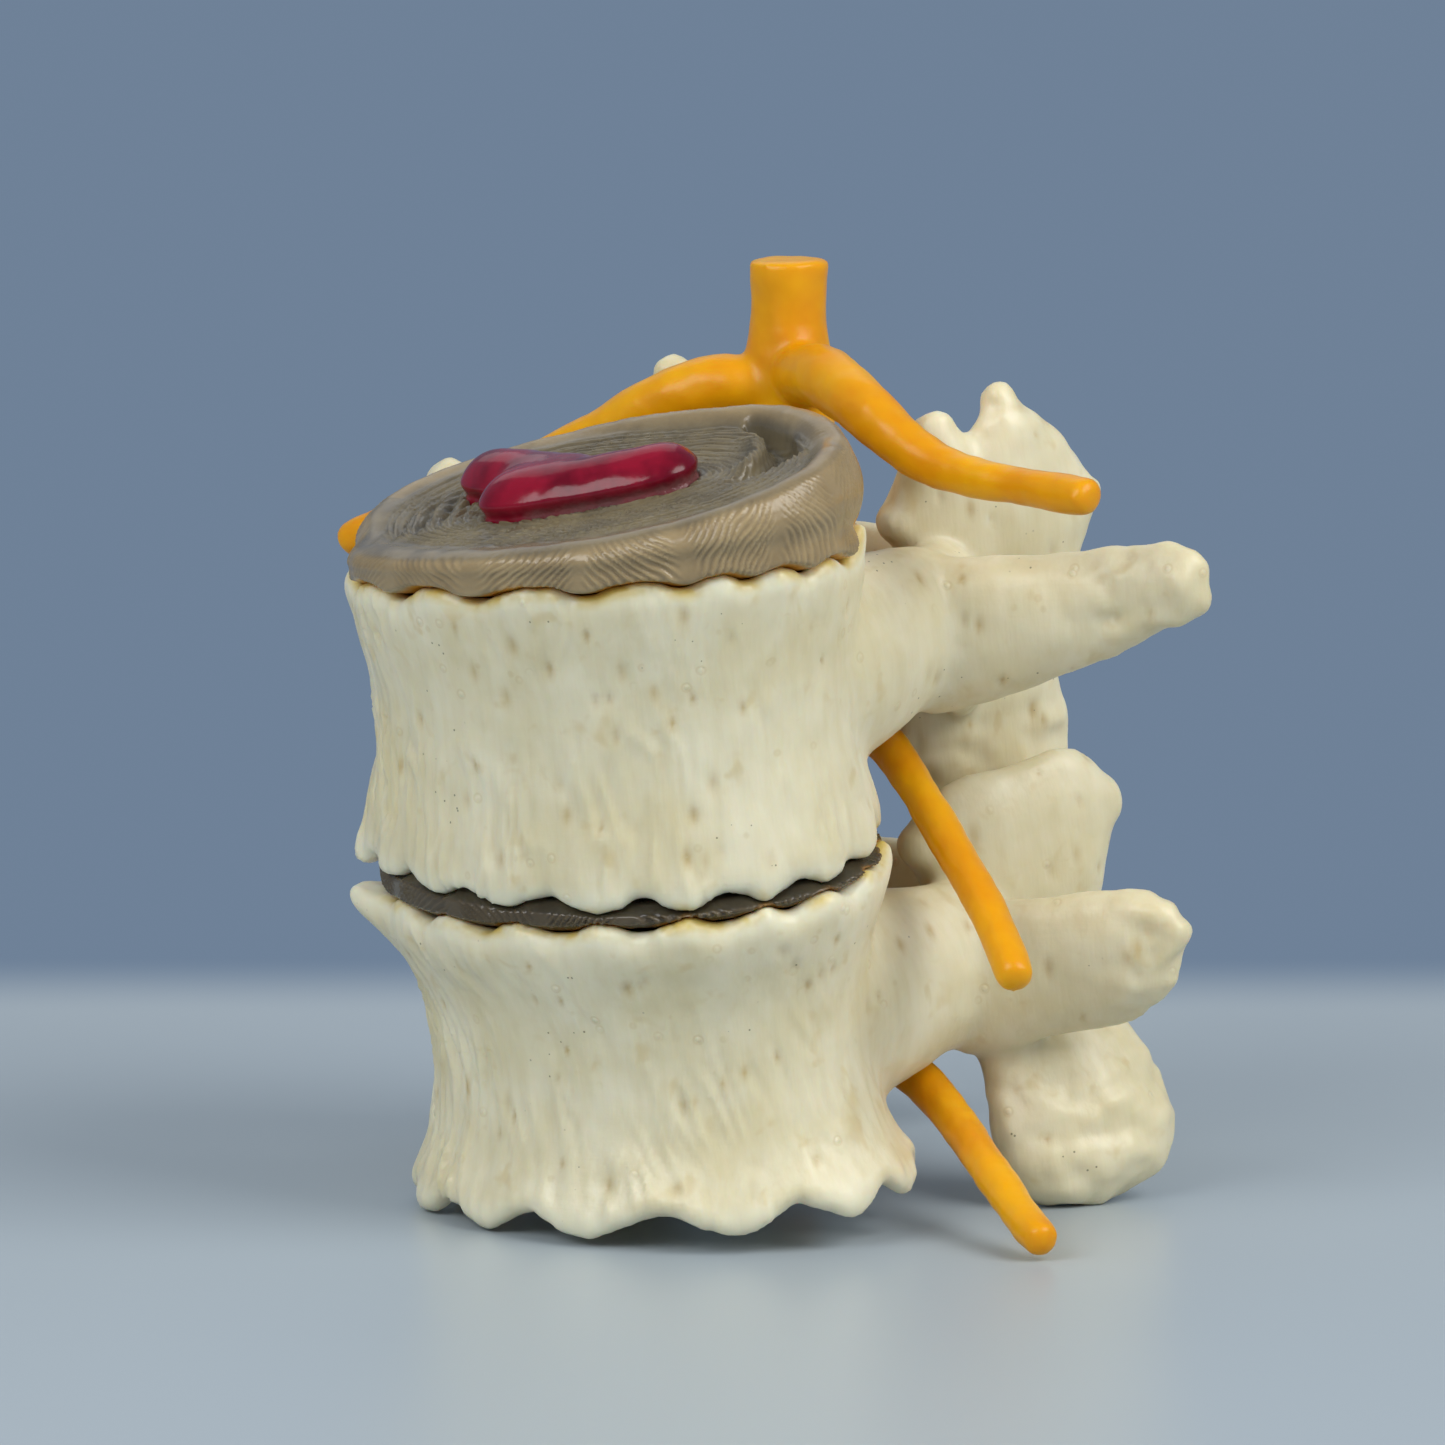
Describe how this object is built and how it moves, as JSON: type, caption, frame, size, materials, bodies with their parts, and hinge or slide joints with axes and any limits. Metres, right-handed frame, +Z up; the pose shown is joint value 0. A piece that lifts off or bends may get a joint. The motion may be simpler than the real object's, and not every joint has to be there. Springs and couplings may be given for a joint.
{
  "type": "spine anatomy model",
  "caption": "Desk-top anatomical model of two stacked lumbar vertebrae with discs, a displaced nucleus and a branching spinal nerve trunk, standing free on its lower rim and rear processes.",
  "frame": {"origin": "middle of the bounding box's underside, on the table", "axes": "+Z up, +Y towards the spinous processes at the back, +X the model's own left side"},
  "size_m": [0.0866, 0.089, 0.0837],
  "materials": {
    "bone": "ivory cast resin, satin, with tan stained pits",
    "disc": "grey-brown translucent soft plastic, glossy",
    "nucleus": "wet-looking crimson",
    "nerve": "orange-yellow soft plastic, satin"
  },
  "bodies": {
    "root": {"lower_vertebra": "bone", "upper_vertebra": "bone", "upper_disc": "disc", "lower_disc": "disc", "upper_nucleus": "nucleus", "nerve_tree": "nerve"}
  },
  "joints": []
}
